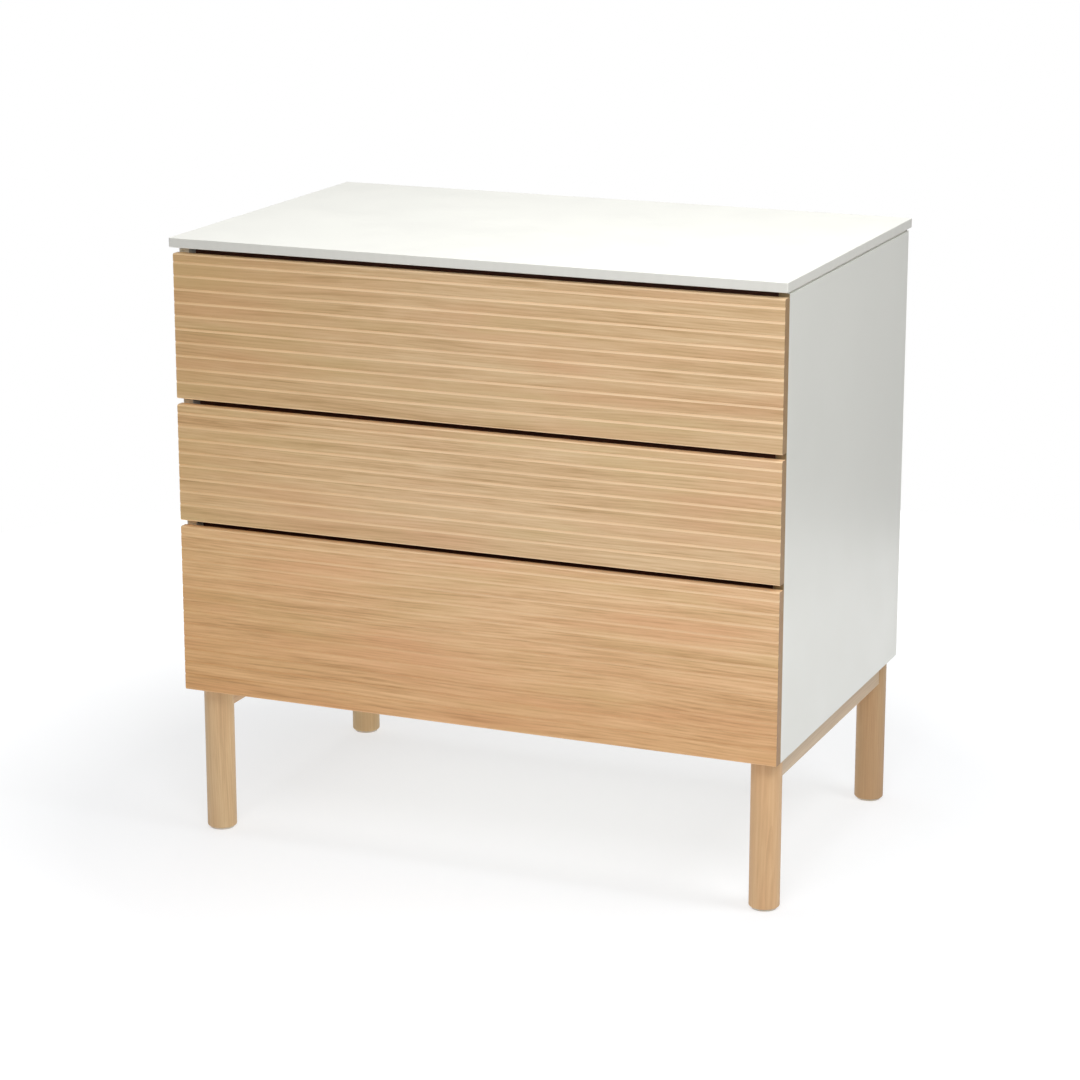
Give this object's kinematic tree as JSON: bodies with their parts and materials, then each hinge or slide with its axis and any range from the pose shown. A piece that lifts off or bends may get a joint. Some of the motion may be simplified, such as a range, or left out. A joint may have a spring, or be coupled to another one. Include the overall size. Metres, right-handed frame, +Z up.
{
  "type": "changing table",
  "caption": "Nursery dresser whose flat white top serves as a changing surface, with handle-less grooved wood drawers on telescopic slides and round wooden legs.",
  "frame": {"origin": "on the floor under the middle of the top panel", "axes": "+X to the right seen from the front, -Y out of the drawer fronts, +Z up"},
  "size_m": [0.928, 0.577, 0.9],
  "materials": {
    "white_lacquer": "satin white lacquer on board",
    "front_wood": "matt clear lacquer, fine horizontal grain",
    "leg_wood": "matt clear lacquer, grain along the piece",
    "dark_rail": "dark stained rail behind the finger gap",
    "box_wood": "clear lacquered birch",
    "back_board": "smooth white-faced thin board",
    "zinc_steel": "zinc-plated steel",
    "pale_nylon": "pale nylon"
  },
  "bodies": {
    "cabinet": {"top_panel": "white_lacquer", "side_panel_left": "white_lacquer", "side_panel_right": "white_lacquer", "bottom_panel": "white_lacquer", "back_panel": "back_board", "top_rail_front": "dark_rail", "top_rail_rear": "white_lacquer", "divider_rail_upper": "dark_rail", "divider_rail_lower": "dark_rail", "leg_front_left": "leg_wood", "leg_front_right": "leg_wood", "leg_rear_left": "leg_wood", "leg_rear_right": "leg_wood", "base_rail_left": "leg_wood", "base_rail_right": "leg_wood", "base_cross_rail_front": "leg_wood", "base_cross_rail_rear": "leg_wood", "foot_glides": "pale_nylon", "leg_bolts": "zinc_steel", "dowels": "box_wood", "cam_fittings": "zinc_steel", "countersunk_screws": "zinc_steel", "pan_head_screws": "zinc_steel", "upper_slide_left_case_member": "zinc_steel", "upper_slide_right_case_member": "zinc_steel", "middle_slide_left_case_member": "zinc_steel", "middle_slide_right_case_member": "zinc_steel", "lower_slide_left_case_member": "zinc_steel", "lower_slide_right_case_member": "zinc_steel"},
    "upper_drawer": {"upper_drawer_front": "front_wood", "upper_drawer_side_left": "box_wood", "upper_drawer_side_right": "box_wood", "upper_drawer_back": "box_wood", "upper_drawer_bottom": "back_board", "upper_drawer_fittings": "zinc_steel", "upper_slide_left_drawer_member": "zinc_steel", "upper_slide_right_drawer_member": "zinc_steel"},
    "upper_slide_left_intermediate": {"upper_slide_left_intermediate_member": "zinc_steel"},
    "upper_slide_right_intermediate": {"upper_slide_right_intermediate_member": "zinc_steel"},
    "middle_drawer": {"middle_drawer_front": "front_wood", "middle_drawer_side_left": "box_wood", "middle_drawer_side_right": "box_wood", "middle_drawer_back": "box_wood", "middle_drawer_bottom": "back_board", "middle_drawer_fittings": "zinc_steel", "middle_slide_left_drawer_member": "zinc_steel", "middle_slide_right_drawer_member": "zinc_steel"},
    "middle_slide_left_intermediate": {"middle_slide_left_intermediate_member": "zinc_steel"},
    "middle_slide_right_intermediate": {"middle_slide_right_intermediate_member": "zinc_steel"},
    "lower_drawer": {"lower_drawer_front": "front_wood", "lower_drawer_side_left": "box_wood", "lower_drawer_side_right": "box_wood", "lower_drawer_back": "box_wood", "lower_drawer_bottom": "back_board", "lower_drawer_fittings": "zinc_steel", "lower_slide_left_drawer_member": "zinc_steel", "lower_slide_right_drawer_member": "zinc_steel"},
    "lower_slide_left_intermediate": {"lower_slide_left_intermediate_member": "zinc_steel"},
    "lower_slide_right_intermediate": {"lower_slide_right_intermediate_member": "zinc_steel"}
  },
  "joints": [
    {"name": "upper_drawer_slide", "type": "slide", "parent": "cabinet", "child": "upper_drawer", "axis": [0, -1, 0], "range_m": [0, 0.45]},
    {"name": "upper_slide_left_intermediate_travel", "type": "slide", "parent": "cabinet", "child": "upper_slide_left_intermediate", "axis": [0, -1, 0], "range_m": [0, 0.225]},
    {"name": "upper_slide_right_intermediate_travel", "type": "slide", "parent": "cabinet", "child": "upper_slide_right_intermediate", "axis": [0, -1, 0], "range_m": [0, 0.225]},
    {"name": "middle_drawer_slide", "type": "slide", "parent": "cabinet", "child": "middle_drawer", "axis": [0, -1, 0], "range_m": [0, 0.45]},
    {"name": "middle_slide_left_intermediate_travel", "type": "slide", "parent": "cabinet", "child": "middle_slide_left_intermediate", "axis": [0, -1, 0], "range_m": [0, 0.225]},
    {"name": "middle_slide_right_intermediate_travel", "type": "slide", "parent": "cabinet", "child": "middle_slide_right_intermediate", "axis": [0, -1, 0], "range_m": [0, 0.225]},
    {"name": "lower_drawer_slide", "type": "slide", "parent": "cabinet", "child": "lower_drawer", "axis": [0, -1, 0], "range_m": [0, 0.45]},
    {"name": "lower_slide_left_intermediate_travel", "type": "slide", "parent": "cabinet", "child": "lower_slide_left_intermediate", "axis": [0, -1, 0], "range_m": [0, 0.225]},
    {"name": "lower_slide_right_intermediate_travel", "type": "slide", "parent": "cabinet", "child": "lower_slide_right_intermediate", "axis": [0, -1, 0], "range_m": [0, 0.225]}
  ],
  "couplings": [
    {"joint": "upper_slide_left_intermediate_travel", "follows": "upper_drawer_slide", "ratio": 0.5},
    {"joint": "upper_slide_right_intermediate_travel", "follows": "upper_drawer_slide", "ratio": 0.5},
    {"joint": "middle_slide_left_intermediate_travel", "follows": "middle_drawer_slide", "ratio": 0.5},
    {"joint": "middle_slide_right_intermediate_travel", "follows": "middle_drawer_slide", "ratio": 0.5},
    {"joint": "lower_slide_left_intermediate_travel", "follows": "lower_drawer_slide", "ratio": 0.5},
    {"joint": "lower_slide_right_intermediate_travel", "follows": "lower_drawer_slide", "ratio": 0.5}
  ]
}
